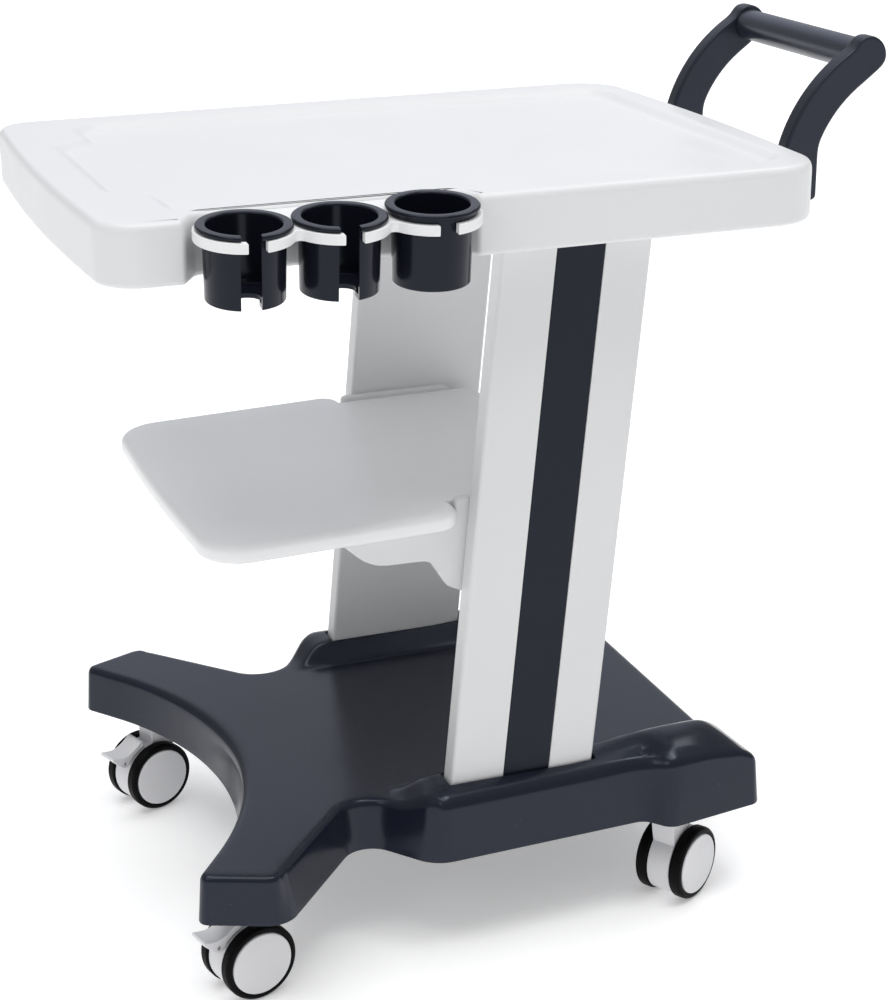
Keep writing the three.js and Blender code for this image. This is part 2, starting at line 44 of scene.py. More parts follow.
MIDDLE = Vector((-16.67421, -1.502914, 0.0))
Z = Vector((0, 0, 1))

# the uprights lean back by LEAN millimetres for each millimetre above FOOT_LEVEL
FOOT_LEVEL = 167.0
LEAN = 50.3 / 512

# the photo's camera, solved on the tray, the uprights, the base and the wheels; metres and degrees
CAMERA_PLACE = (1.91195, -0.7313, 1.1418)
CAMERA_AZIMUTH, CAMERA_ELEVATION, CAMERA_ROLL = 69.387, 20.272, -0.388
CAMERA_LENS = 78.6


# ---------------------------------------------------------------- camera, floor and light
def make_camera():
    azimuth, elevation, roll = (math.radians(a) for a in (CAMERA_AZIMUTH, CAMERA_ELEVATION, CAMERA_ROLL))
    back = Vector((
        math.sin(azimuth) * math.cos(elevation),
        -math.cos(azimuth) * math.cos(elevation),
        math.sin(elevation),
    ))
    level = (-back).cross(Z).normalized()
    upward = level.cross(-back)
    right = level * math.cos(roll) + upward * math.sin(roll)
    up = upward * math.cos(roll) - level * math.sin(roll)
    data = bpy.data.cameras.new("camera")
    data.lens = CAMERA_LENS
    data.sensor_width = 36
    data.clip_end = 200
    camera = bpy.data.objects.new("camera", data)
    turn = Matrix((right, up, back)).transposed()
    camera.matrix_world = Matrix.Translation(CAMERA_PLACE) @ turn.to_4x4()
    bpy.context.scene.collection.objects.link(camera)
    bpy.context.scene.camera = camera


def aim(light, place, target):
    light.location = place
    light.rotation_euler = (Vector(target) - Vector(place)).to_track_quat("-Z", "Y").to_euler()
    bpy.context.scene.collection.objects.link(light)


def make_lights():
    sun = bpy.data.lights.new("overhead", "SUN")
    sun.energy = 1.6
    sun.angle = math.radians(50)
    aim(bpy.data.objects.new("overhead", sun), (0.20, -0.35, 3.4), (0, 0, 0))
    for name, size, power, place in (
        ("softbox_front", 0.9, 5, (1.9, -2.4, 2.3)),
        ("softbox_high", 0.7, 7, (0.9, 0.4, 3.0)),
        ("softbox_back", 1.0, 10, (-0.3, 1.45, 2.8)),
    ):
        area = bpy.data.lights.new(name, "AREA")
        area.shape = "SQUARE"
        area.size = size
        area.energy = power
        aim(bpy.data.objects.new(name, area), place, (0, 0, 0.4))
    world = bpy.data.worlds.new("studio")
    bpy.context.scene.world = world
    world.use_nodes = True
    tree = world.node_tree
    background = tree.nodes["Background"]
    coords = tree.nodes.new("ShaderNodeTexCoord")
    split = tree.nodes.new("ShaderNodeSeparateXYZ")
    ramp = tree.nodes.new("ShaderNodeValToRGB")
    tree.links.new(coords.outputs["Generated"], split.inputs[0])
    tree.links.new(split.outputs["Z"], ramp.inputs["Fac"])
    # a brighter wall on the far left of the studio, which the glossy top faces mirror
    wall = node(tree, "ShaderNodeVectorMath", operation="DOT_PRODUCT")
    wall.inputs[1].default_value = (-0.86, 0.24, 0.45)
    tree.links.new(coords.outputs["Generated"], wall.inputs[0])
    glow = spread(tree, wall.outputs["Value"], 0.0, 0.64, 0.86, 0.97)
    lit = node(tree, "ShaderNodeMix", data_type="RGBA", blend_type="ADD")
    lit.inputs[7].default_value = (0.84, 0.93, 1.16, 1)
    tree.links.new(glow, lit.inputs[0])
    tree.links.new(ramp.outputs["Color"], lit.inputs[6])
    tree.links.new(lit.outputs[2], background.inputs["Color"])
    stops = ((0.0, 0.58), (0.42, 0.62), (0.60, 0.74), (1.0, 1.0))
    elements = ramp.color_ramp.elements
    while len(elements) < len(stops):
        elements.new(0.5)
    for element, (place, value) in zip(elements, stops):
        element.position = place
        element.color = (value, value, value * 1.01, 1)
    background.inputs["Strength"].default_value = 0.62


# ---------------------------------------------------------------- materials
def node(tree, kind, **values):
    made = tree.nodes.new(kind)
    for key, value in values.items():
        if hasattr(made, key):
            setattr(made, key, value)
        else:
            made.inputs[key.replace("_", " ")].default_value = value
    return made


def noise(tree, vector, scale, detail=2.0, rough=0.5):
    made = node(tree, "ShaderNodeTexNoise", Scale=scale, Detail=detail, Roughness=rough)
    tree.links.new(vector, made.inputs["Vector"])
    return made.outputs["Fac"]


def stretched(tree, vector, scale, angle):
    made = node(tree, "ShaderNodeMapping")
    made.inputs["Rotation"].default_value = angle
    made.inputs["Scale"].default_value = scale
    tree.links.new(vector, made.inputs["Vector"])
    return made.outputs["Vector"]


def spread(tree, value, low, high, from_low=0.3, from_high=0.7):
    made = node(tree, "ShaderNodeMapRange")
    for socket, number in zip(("From Min", "From Max", "To Min", "To Max"),
                              (from_low, from_high, low, high)):
        made.inputs[socket].default_value = number
    tree.links.new(value, made.inputs["Value"])
    return made.outputs["Result"]


def combined(tree, operation, a, b):
    made = node(tree, "ShaderNodeMath", operation=operation)
    for socket, value in zip(made.inputs, (a, b)):
        if isinstance(value, (int, float)):
            socket.default_value = value
        else:
            tree.links.new(value, socket)
    return made.outputs[0]


def tone(colour, factor):
    return (*(min(1.0, c * factor) for c in colour), 1.0)


def surface(name, colour, rough, vary=0.04, rough_vary=0.05, grain=(900, 0.12, 0.00012),
            swell=None, scuff=0.0, dust=0.0, metallic=0.0, specular=0.5, tint=None):
    """A moulded, painted or metal finish: colour drift, uneven gloss, fine scuffs and surface grain."""
    made = bpy.data.materials.new(name)
    made.use_nodes = True
    tree = made.node_tree
    shader = tree.nodes["Principled BSDF"]
    place = tree.nodes.new("ShaderNodeTexCoord").outputs["Object"]

    drift = noise(tree, place, 7.0, 3.0)
    fleck = noise(tree, place, 130.0, 4.0, 0.65)
    blend = node(tree, "ShaderNodeMix", data_type="RGBA")
    blend.inputs[6].default_value = tone(colour, 1 - vary)
    blend.inputs[7].default_value = tone(colour, 1 + vary)
    share = combined(tree, "ADD", spread(tree, drift, 0.0, 0.75), spread(tree, fleck, 0.0, 0.25))
    tree.links.new(share, blend.inputs[0])
    shade = blend.outputs[2]

    # hairline scuffs in two directions, showing mostly as a change of gloss
    rub = noise(tree, stretched(tree, place, (9, 420, 420), (0.3, 0.2, 0.5)), 1.0, 2.0)
    rub_b = noise(tree, stretched(tree, place, (380, 12, 380), (0.1, 0.5, 0.9)), 1.0, 2.0)
    lines = combined(tree, "MAXIMUM", spread(tree, rub, 0, 1, 0.66, 0.74),
                     spread(tree, rub_b, 0, 1, 0.67, 0.75))
    cloud = noise(tree, place, 28.0, 4.0, 0.6)
    gloss = combined(tree, "ADD", spread(tree, cloud, rough - rough_vary, rough + rough_vary),
                     combined(tree, "MULTIPLY", lines, scuff))
    if dust:
        height = node(tree, "ShaderNodeSeparateXYZ")
        tree.links.new(place, height.inputs[0])
        low = spread(tree, height.outputs["Z"], 1.0, 0.0, 0.0, 0.16)
        settled = combined(tree, "MULTIPLY", spread(tree, cloud, 0.1, 1.0), low)
        veil = node(tree, "ShaderNodeMix", data_type="RGBA")
        veil.inputs[7].default_value = (0.30, 0.29, 0.28, 1)
        tree.links.new(shade, veil.inputs[6])
        tree.links.new(combined(tree, "MULTIPLY", settled, dust), veil.inputs[0])
        shade = veil.outputs[2]
        gloss = combined(tree, "ADD", gloss, combined(tree, "MULTIPLY", settled, 2 * dust))
    tree.links.new(shade, shader.inputs["Base Color"])
    tree.links.new(gloss, shader.inputs["Roughness"])

    relief = None
    layers = [grain] + ([swell] if swell else [])
    for scale, strength, distance in layers:
        bump = node(tree, "ShaderNodeBump", Strength=strength, Distance=distance)
        tree.links.new(noise(tree, place, scale, 2.0), bump.inputs["Height"])
        if relief is not None:
            tree.links.new(relief, bump.inputs["Normal"])
        relief = bump.outputs["Normal"]
    tree.links.new(relief, shader.inputs["Normal"])
    shader.inputs["Metallic"].default_value = metallic
    shader.inputs["Specular IOR Level"].default_value = specular
    if tint:
        shader.inputs["Specular Tint"].default_value = (*tint, 1)
    return made


def make_materials():
    blue = (0.80, 0.87, 1.0)
    return {
        "tray": surface("white_abs", (0.705, 0.712, 0.722), 0.38, 0.012, 0.05, (1500, 0.10, 0.00008),
                        (60, 0.03, 0.0003), 0.08),
        "white": surface("white_painted", (0.70, 0.705, 0.71), 0.42, 0.012, 0.05, (1100, 0.12, 0.0001),
                         (90, 0.04, 0.0002), 0.08),
        "bracket": surface("white_nylon", (0.80, 0.805, 0.81), 0.36, 0.015, 0.05, (1300, 0.10, 0.0001),
                           (150, 0.05, 0.0002), 0.10),
        "navy": surface("navy_gloss", (0.0090, 0.0108, 0.0200), 0.20, 0.03, 0.03, (1600, 0.03, 0.00004),
                        (24, 0.03, 0.0008), 0.06, 0.01, specular=0.33, tint=blue),
        "handle": surface("navy_textured", (0.0120, 0.0138, 0.0230), 0.36, 0.04, 0.04, (2100, 0.16, 0.0001),
                          (90, 0.04, 0.0002), 0.08, specular=0.40, tint=blue),
        # the grip tube: the arms' navy made lighter, which paints in part of the broad sheen along the tube
        "painted_sheen_grip": surface("navy_painted_sheen_grip", (0.0200, 0.0225, 0.0350), 0.30, 0.04, 0.04, (1900, 0.12, 0.0001),
                        (90, 0.04, 0.0002), 0.10, specular=0.55, tint=blue),
        "cup": surface("navy_cup", (0.0080, 0.0090, 0.0150), 0.18, 0.04, 0.03, (1500, 0.04, 0.00005),
                       (60, 0.03, 0.0002), 0.06, specular=0.22, tint=blue),
        "stripe": surface("navy_trim", (0.0110, 0.0125, 0.0200), 0.40, 0.05, 0.04, (2400, 0.2, 0.0001),
                          None, 0.06, specular=0.20, tint=blue),
        "tyre": surface("black_tread", (0.0016, 0.0016, 0.0019), 0.48, 0.15, 0.06, (1900, 0.25, 0.00012),
                        (260, 0.08, 0.0002), 0.05, 0.006, specular=0.08),
        "caster": surface("grey_nylon", (0.74, 0.74, 0.76), 0.38, 0.015, 0.05, (1500, 0.12, 0.0001),
                          (110, 0.04, 0.0002), 0.08, 0.02),
        "steel": surface("zinc_steel", (0.56, 0.57, 0.58), 0.34, 0.08, 0.09, (2200, 0.15, 0.00008),
                         (200, 0.08, 0.0002), 0.25, metallic=1.0),
        "frame": surface("grey_powder_coat", (0.10, 0.105, 0.115), 0.60, 0.08, 0.06, (1300, 0.5, 0.0002),
                         None, 0.05),
        "floor": surface("studio_floor", (0.93, 0.93, 0.93), 0.85, 0.004, 0.03, (40, 0.02, 0.0005), None, 0.0,
                         specular=0.0),
    }


# ---------------------------------------------------------------- outlines
NEARLY_STRAIGHT = 1.565  # half the angle between a corner's two sides, in radians


def corner_sweep(corners, i):
    """Centre, first angle and signed sweep of the arc that rounds a corner, or None where it is too flat."""
    x, y, r = corners[i]
    here = Vector((x, y))
    back = (Vector(corners[i - 1][:2]) - here).normalized()
    ahead = (Vector(corners[(i + 1) % len(corners)][:2]) - here).normalized()
    half = math.acos(max(-1.0, min(1.0, back.dot(ahead)))) / 2
    if r <= 0 or half > NEARLY_STRAIGHT:
        return None
    centre = here + (back + ahead).normalized() * (r / math.sin(half))
    start = here + back * (r / math.tan(half)) - centre
    sweep = math.pi - 2 * half
    if back.x * ahead.y > back.y * ahead.x:
        sweep = -sweep
    return centre, math.atan2(start.y, start.x), sweep


def fillet(corners, degrees=7.0, chord=30.0):
    """A closed outline; a corner is (x, y, radius)."""
    points = []
    for i, (x, y, r) in enumerate(corners):
        found = corner_sweep(corners, i)
        if found is None:
            points.append((x, y))
            continue
        centre, first, sweep = found
        size = abs(sweep)
        steps = max(2, math.ceil(size / math.radians(degrees)), math.ceil(r * size / chord))
        for k in range(steps + 1):
            angle = first + sweep * k / steps
            points.append((centre.x + r * math.cos(angle), centre.y + r * math.sin(angle)))
    return np.array(points)


def offset(points, distance):
    """The outline moved inward, point by point."""
    edge = np.roll(points, -1, 0) - points
    edge /= np.linalg.norm(edge, axis=1)[:, None]
    ahead = np.stack((-edge[:, 1], edge[:, 0]), 1)
    behind = np.roll(ahead, 1, 0)
    return points + distance * (ahead + behind) / (1 + (ahead * behind).sum(1))[:, None]


def flipped(corners):
    return [(-x, y, r) for x, y, r in reversed(corners)]


def mirrored(half):
    return list(half) + [(-x, y, r) for x, y, r in reversed(half) if x > 0]


def arc(centre, radius, start, end, steps):
    angles = np.linspace(start, end, steps + 1)
    return [(centre[0] + radius * math.cos(a), centre[1] + radius * math.sin(a)) for a in angles]


# ---------------------------------------------------------------- shells: (points, faces)
def upright_z(u, v, t):
    return np.stack((u, v, t), -1)


def along_x(u, v, t):
    return np.stack((t, u, v), -1)


def leaning(points):
    points = np.array(points, float)
    points[:, 1] += (points[:, 2] - FOOT_LEVEL) * LEAN
    return points


def skin(rings, start=True, end=True):
    """Rings of equal length joined one to the next; the ends are closed by one face each."""
    size = len(rings[0])
    faces = []
    for a in range(len(rings) - 1):
        low, high = a * size, (a + 1) * size
        faces += [(low + i, low + (i + 1) % size, high + (i + 1) % size, high + i) for i in range(size)]
    if start:
        faces.append(tuple(reversed(range(size))))
    if end:
        last = (len(rings) - 1) * size
        faces.append(tuple(range(last, last + size)))
    return np.concatenate(rings), faces


def ring_of(outline, inward, height, way=upright_z):
    inset = offset(outline, inward) if inward else outline
    return way(inset[:, 0], inset[:, 1], np.full(len(inset), float(height)))


def edge_steps(wide, high, steps):
    """(inset, height) pairs of a quarter ellipse, from the side face to the top face."""
    quarter = [math.pi / 2 * k / steps for k in range(steps + 1)]
    return [(wide * (1 - math.cos(a)), high * math.sin(a)) for a in quarter]


def block(outline, low, high, wide=0.0, deep=None, steps=4, way=upright_z):
    """An outline given thickness, with rounded edges."""
    deep = wide if deep is None else deep
    if not wide:
        return skin([ring_of(outline, 0, low, way), ring_of(outline, 0, high, way)])
    rings = [ring_of(outline, d, low + deep - h, way) for d, h in reversed(edge_steps(wide, deep, steps))]
    rings += [ring_of(outline, d, high - deep + h, way) for d, h in edge_steps(wide, deep, steps)]
    return skin(rings)


def turned(profile, sides):
    """A closed profile of (radius, height) turned about Z; radius 0 points close it at the axis."""
    points, rows = [], []
    for radius, height in profile:
        if radius < 1e-6:
            rows.append([len(points)] * sides)
            points.append((0, 0, height))
            continue
        rows.append(list(range(len(points), len(points) + sides)))
        angles = 2 * math.pi * np.arange(sides) / sides
        points += [(radius * math.cos(a), radius * math.sin(a), height) for a in angles]
    faces = []
    pairs = list(zip(rows, rows[1:]))
    if profile[0][0] > 1e-6:
        pairs.append((rows[-1], rows[0]))
    for low, high in pairs:
        for i in range(sides):
            j = (i + 1) % sides
            face = list(dict.fromkeys((low[i], low[j], high[j], high[i])))
            if len(face) > 2:
                faces.append(tuple(face))
    return np.array(points, float), faces


def box(x0, y0, z0, x1, y1, z1):
    return block(np.array([(x0, y0), (x1, y0), (x1, y1), (x0, y1)], float), z0, z1)


def moved(shell, matrix):
    points, faces = shell
    turn = np.array(matrix.to_3x3())
    return points @ turn.T + np.array(matrix.translation), faces


# ---------------------------------------------------------------- Blender pieces
def plain_object(name, shells):
    build = bmesh.new()
    for points, faces in shells:
        verts = [build.verts.new(((Vector(p) + MIDDLE) * MM)) for p in points]
        for face in faces:
            build.faces.new([verts[i] for i in face])
    bmesh.ops.recalc_face_normals(build, faces=build.faces)
    mesh = bpy.data.meshes.new(name)
    build.to_mesh(mesh)
    build.free()
    made = bpy.data.objects.new(name, mesh)
    bpy.context.scene.collection.objects.link(made)
    return made


def settle(obj):
    """The modifiers' result becomes the object's own mesh."""
    bpy.context.view_layer.update()
    graph = bpy.context.evaluated_depsgraph_get()
    mesh = bpy.data.meshes.new_from_object(obj.evaluated_get(graph))
    old = obj.data
    obj.modifiers.clear()
    obj.data = mesh
    bpy.data.meshes.remove(old)
    mesh.name = obj.name


def combine(obj, shells, operation):
    for shell in shells:
        other = plain_object("tool", [shell])
        change = obj.modifiers.new("combine", "BOOLEAN")
        change.operation = operation
        change.solver = "EXACT"
        change.object = other
        settle(obj)
        bpy.data.objects.remove(other)


def piece(name, shells, body, look, nodes, add=(), cut=(), bevel=0.0, sharp=38, shell=0.0):
    """A finished piece: solids joined and cut, edges softened, shading set, and bound to its body."""
    made = plain_object(name, shells)
    if shell:
        wall = made.modifiers.new("wall", "SOLIDIFY")
        wall.thickness = shell * MM
        wall.offset = -1
        settle(made)
    combine(made, add, "UNION")
    combine(made, cut, "DIFFERENCE")
    if bevel:
        soften = made.modifiers.new("soften", "BEVEL")
        soften.width = bevel * MM
        soften.segments = 3
        soften.limit_method = "ANGLE"
        soften.angle_limit = math.radians(sharp)
        soften.use_clamp_overlap = True
        settle(made)
    made.data.polygons.foreach_set("use_smooth", [True] * len(made.data.polygons))
    made.data.set_sharp_from_angle(angle=math.radians(sharp))
    weigh = made.modifiers.new("weigh", "WEIGHTED_NORMAL")
    weigh.keep_sharp = True
    weigh.weight = 60
    settle(made)
    made.data.materials.clear()
    made.data.materials.append(LOOKS[look])
    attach(made, body)
    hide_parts(*nodes)
    return made


def repaint(look, *names):
    for name in names:
        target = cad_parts[name]
        if not target.data.materials:
            target.data.materials.append(LOOKS[look])
        for i in range(len(target.material_slots)):
            target.material_slots[i].material = LOOKS[look]
        target.data.polygons.foreach_set("use_smooth", [True] * len(target.data.polygons))
        target.data.set_sharp_from_angle(angle=math.radians(35))


# ---------------------------------------------------------------- base
BASE_BOTTOM, BASE_FLOOR = 99.7, 149.4
RAIL_TOP, HUMP_RISE = 168.5, 14.0
RAIL_FOOT, RAIL_STEEPNESS = 151.6, 1.43  # where the rail's inner face meets the deck, and its slope
EDGE_TOP = 160.5
STEP_Y = 131  # where the side steps out around the rear wheel
SOFTENING = 140  # smoothing passes over a softened ring
BASE_CORNERS = mirrored([
    (0, -160.3, 341), (242, -340.5, 10), (275, -262, 28), (151.7, -153.3, 27),
    (221.5, -99.3, 38), (213.8, 122, 18), (237.5, 140, 18), (221.5, 247, 12),
])


def smooth_min(a, b, k):
    h = np.maximum(k - np.abs(a - b), 0) / k
    return np.minimum(a, b) - h * h * k / 4


def smooth_max(a, b, k):
    return -smooth_min(-a, -b, k)


def ease(t):
    t = np.clip(t, 0, 1)
    return t * t * (3 - 2 * t)


def base_height(x, y, inward):
    """Height of the moulding's top: a flat deck, a rail at each side and a hump over each rear wheel."""
    across = np.abs(x)
    rail = RAIL_TOP + HUMP_RISE * ease((y - 40) / 125)
    ramp = 264.0 + y
    fall = 177.0 - 0.88 * (y - 209.0)
    lengthwise = smooth_min(rail, smooth_min(ramp, fall, 14.0), 14.0)
    inner = BASE_FLOOR + (across - RAIL_FOOT) * RAIL_STEEPNESS
    # over the rear wheel the edge stands higher just behind the step and its top face is flatter
    flat = ease((y - 126) / 18)
    edge = EDGE_TOP + 8.5 * flat * (1 - 0.9 * ease((y - 162) / 72))
    outer = edge + (inward - 8.0) * (0.8 - 0.22 * flat)
    ridge = smooth_min(lengthwise, smooth_min(inner, outer, 9.0), 9.0)
    return smooth_max(np.full_like(ridge, BASE_FLOOR), ridge, 11.0)


def distance_to(points, outline):
    """Shortest distance from each point to a closed outline, and whether the point lies inside it."""
    start, end = outline[None], np.roll(outline, -1, 0)[None]
    here = points[:, None]
    edge = end - start
    share = np.clip(((here - start) * edge).sum(2) / (edge ** 2).sum(2), 0, 1)[..., None]
    gap = np.sqrt((((start + share * edge) - here) ** 2).sum(2).min(1))
    level = (start[..., 1] > here[..., 1]) != (end[..., 1] > here[..., 1])
    run = np.where(np.abs(edge[..., 1]) < 1e-9, 1e-9, edge[..., 1])
    crossing = start[..., 0] + (here[..., 1] - start[..., 1]) * edge[..., 0] / run
    return gap, (level & (here[..., 0] < crossing)).sum(1) % 2 == 1


def blurred(values, passes):
    for _ in range(passes):
        values = (np.roll(values, 1) + 2 * values + np.roll(values, -1)) / 4
    return values


def softened(ring, share):
    """A ring of points with its bends spread out along it, by the given share at each point."""
    return np.column_stack([line + share * (blurred(line, SOFTENING) - line) for line in ring.T])


def inset_corners(corners, distance):
    moved_corners = []
    for i, (x, y, r) in enumerate(corners):
        here = Vector((x, y))
        u = (here - Vector(corners[i - 1][:2])).normalized()
        v = (Vector(corners[(i + 1) % len(corners)][:2]) - here).normalized()
        k = distance / (1 + u.dot(v))
        convex = u.x * v.y - u.y * v.x > 0
        radius = max(2.5, r - distance) if convex else r + distance
        moved_corners.append((x + k * (-u.y - v.y), y + k * (u.x + v.x), radius))
    return moved_corners


def base_ring(distance, counts):
    """The base outline moved inward; each corner and each straight keeps its own number of points."""
    corners = inset_corners(BASE_CORNERS, distance)
    arcs = []
    for i, corner in enumerate(corners):
        centre, first, sweep = corner_sweep(corners, i)
        arcs.append(np.array(arc(centre, corner[2], first, first + sweep, counts[i][0])))
    points = []
    for i, rounded in enumerate(arcs):
        following = arcs[(i + 1) % len(arcs)][0]
        share = np.arange(1, counts[i][1])[:, None] / counts[i][1]
        points.append(rounded)
        points.append(rounded[-1] * (1 - share) + following * share)
    return np.concatenate(points)


def base_shell():
    # points on each corner's arc and on the straight that follows it
    half_counts = [(110, 3), (12, 20), (18, 36), (26, 20), (22, 50), (16, 4), (18, 28), (12, 116)]
    # the mirrored half runs the other way round, so each straight belongs to the corner before it
    back_arcs = [c[0] for c in reversed(half_counts[1:])]
    back_straights = [half_counts[i][1] for i in (6, 5, 4, 3, 2, 1)] + [half_counts[0][1]]
    counts = half_counts + list(zip(back_arcs, back_straights))
    gaps = np.arange(0, 40, 2.0)
    stack = np.stack([base_ring(d, counts) for d in gaps])
    number = stack.shape[1]
    index = np.arange(number)

    def at(distance):
        place = np.clip(np.broadcast_to(distance, number) / 2.0, 0, len(gaps) - 1.001)
        low = place.astype(int)
        part = (place - low)[:, None]
        return stack[low, index] * (1 - part) + stack[low + 1, index] * part

    outline = stack[0]
    x, y = np.abs(outline[:, 0]), outline[:, 1]
    run = np.roll(outline, -1, 0) - np.roll(outline, 1, 0)
    outward = np.stack((run[:, 1], -run[:, 0]), 1) / np.linalg.norm(run, axis=1)[:, None]
    tip = (y < -262) & (np.abs(outward[:, 0]) > 0.75)
    by_step = ease(1.6 - np.abs(y - STEP_Y) / 45) * (x > 190)
    eased = softened(outline, by_step)
    front = (y < -150) & (outward[:, 1] < -0.3) & ~tip
    rear = (y > 200) & (outward[:, 1] > 0.5)
    hump = (y > STEP_Y) & ~rear
    rail = (y > -95) & (y <= STEP_Y)
    # how far the side face leans in over its height, at each point of the outline
    draft = np.full(number, 8.5)
    draft[rail] = 5.0
    draft[hump] = 4.0
    draft[tip] = 1.0
    draft[front] = (6.5 - 3.0 * ease(x / 220))[front]
    draft[rear] = (3.5 + 18.5 * ease((225 - x) / 85))[rear]
    slope = blurred(draft, 12) / (BASE_FLOOR - BASE_BOTTOM)
    # size of the rounding between the side face and the top
    soft = np.full(number, 8.0)
    soft[front] = (13.0 - 5.0 * ease(x / 220))[front]
    soft[hump] = 6.5
    soft = blurred(soft, 12)

    # the leaning side meets the top at a height that depends on where it meets it, so it is found in steps
    top = np.full(number, BASE_FLOOR)
    for _ in range(30):
        spot = at(slope * (top - BASE_BOTTOM))
        inward = distance_to(spot, eased)[0]
        top = 0.5 * top + 0.5 * base_height(spot[:, 0], spot[:, 1], inward)
    rings = []
    for inward, height in ((1.6, BASE_BOTTOM), (0.5, BASE_BOTTOM + 0.5), (0.0, BASE_BOTTOM + 1.8)):
        rings.append(np.column_stack((at(inward), np.full(number, height))))
    low = BASE_BOTTOM + 1.8
    for k in range(1, 7):
        height = low + (top - soft - low) * k / 6
        rings.append(np.column_stack((at(slope * (height - BASE_BOTTOM)), height)))
    first = rings[-1]
    corner = np.column_stack((at(slope * (top - BASE_BOTTOM)), top))
    inner = at(slope * (top - BASE_BOTTOM) + soft)
    depth = distance_to(inner, eased)[0]
    last = np.column_stack((inner, base_height(inner[:, 0], inner[:, 1], depth)))
    for k in range(1, 9):
        t = k / 8
        rings.append((1 - t) ** 2 * first + 2 * t * (1 - t) * corner + t * t * last)
    for ring in rings[3:]:
        ring[:] = softened(ring, by_step * ease((ring[:, 2] - 112) / 44))
    inner = rings[-1][:, :2]

    # the deck inside the last ring is an even net of points, joined up by triangles
    step = 4.5
    net = np.mgrid[-60:61, -80:81].reshape(2, -1).T * step
    gap, inside = distance_to(net, inner)
    net = net[inside & (gap > 0.6 * step)]
    depth = distance_to(net, eased)[0]
    flat = [Vector(p) for p in np.concatenate((inner, net))]
    found = delaunay_2d_cdt(flat, [], [list(range(number))], 1, 1e-6)
    origin = [ids[0] for ids in found[3]]
    points, faces = skin(rings, start=False, end=False)
    first_net = len(points)
    points = np.concatenate((points, np.column_stack((net, base_height(net[:, 0], net[:, 1], depth)))))
    last_ring = (len(rings) - 1) * number
    place = [last_ring + i if i < number else first_net + i - number for i in origin]
    faces += [tuple(place[i] for i in face) for face in found[2]]
    return points, faces


def foot_pocket(side):
    across = sorted((side * 168.4, side * 195.2))
    points, faces = box(across[0], -75.4, 92, across[1], 76.4, 230)
    return leaning(points), faces


def make_base():
    piece("base_moulding", [base_shell()], "frame", "navy", ["base_cover"],
          cut=[foot_pocket(1), foot_pocket(-1)], shell=3.2)


# ---------------------------------------------------------------- uprights
def make_uprights():
    section = [
        (170.6, -73, 3.2), (193, -73, 3.2), (193, -19.7, 0.7), (190.8, -19.7, 0.3),
        (190.8, 28, 0.3), (193, 28, 0.7), (193, 74, 3.2), (170.6, 74, 3.2),
    ]
    trim = [(191.1, -19.4, 0.4), (192.5, -19.4, 0.6), (192.5, 27.7, 0.6), (191.1, 27.7, 0.4)]
    for tag, turn in (("right", lambda c: c), ("left", flipped)):
        for name, corners, slot, look, source in (
            ("upright_panel_", section, "white_plastic", "white", "upright_"),
            ("trim_strip_", trim, "stripe", "stripe", "stripe_"),
        ):
            points, faces = block(fillet(turn(corners), 15), 108.0, 692.5)
            piece(name + tag, [(leaning(points), faces)], "frame", look, [source + tag])


# ---------------------------------------------------------------- tray and shelf
def make_tray():
    outline = fillet([
        (0, -398.7, 3000), (244.7, -386.5, 38), (244.7, -319, 6), (217.5, -303, 14),
        (217.5, -80, 14), (244.7, -64, 6), (244.7, 274, 52), (0, 284, 2400),
        (-244.7, 274, 52), (-244.7, -386.5, 38),
    ], 5, 25)
    sunk = fillet(mirrored([(112, -352, 22), (128, -318, 22), (207, -318, 26), (207, 250, 34)]), 6, 40)
    low, high, floor = 692.9, 746.3, 739.3
    rings = [ring_of(outline, 5.2, floor - 4.5), ring_of(outline, 5.2, low)]
    rings += [ring_of(outline, d, low + 5 - h) for d, h in reversed(edge_steps(4, 5, 4))]
    rings += [ring_of(outline, d, high - 9 + h) for d, h in edge_steps(6.5, 9, 7)]
    rings.append(ring_of(outline, 9, high))
    points, faces = skin(rings, start=True, end=False)
    lips = []
    for k in range(9):
        t = k / 8
        lips.append(ring_of(sunk, -6.0 + 16 * t, high - 7 * ease(t)))
    inner_points, inner_faces = skin(lips, start=False, end=True)
    outer_start, inner_start = len(points) - len(outline), len(points)
    faces += [tuple(i + inner_start for i in face) for face in inner_faces]
    rim = [Vector(p) for p in rings[-1]], [Vector(p) for p in reversed(lips[0])]
    ids = list(range(outer_start, inner_start)) + list(reversed(range(inner_start, inner_start + len(sunk))))
    faces += [tuple(ids[i] for i in triangle) for triangle in tessellate_polygon(rim)]
    piece("tray_moulding", [(np.concatenate((points, inner_points)), faces)], "frame",
          "tray", ["tray_top"])


SHELF_TILT, SHELF_RISE, SHELF_MIDDLE = 0.025, 3.0, -180


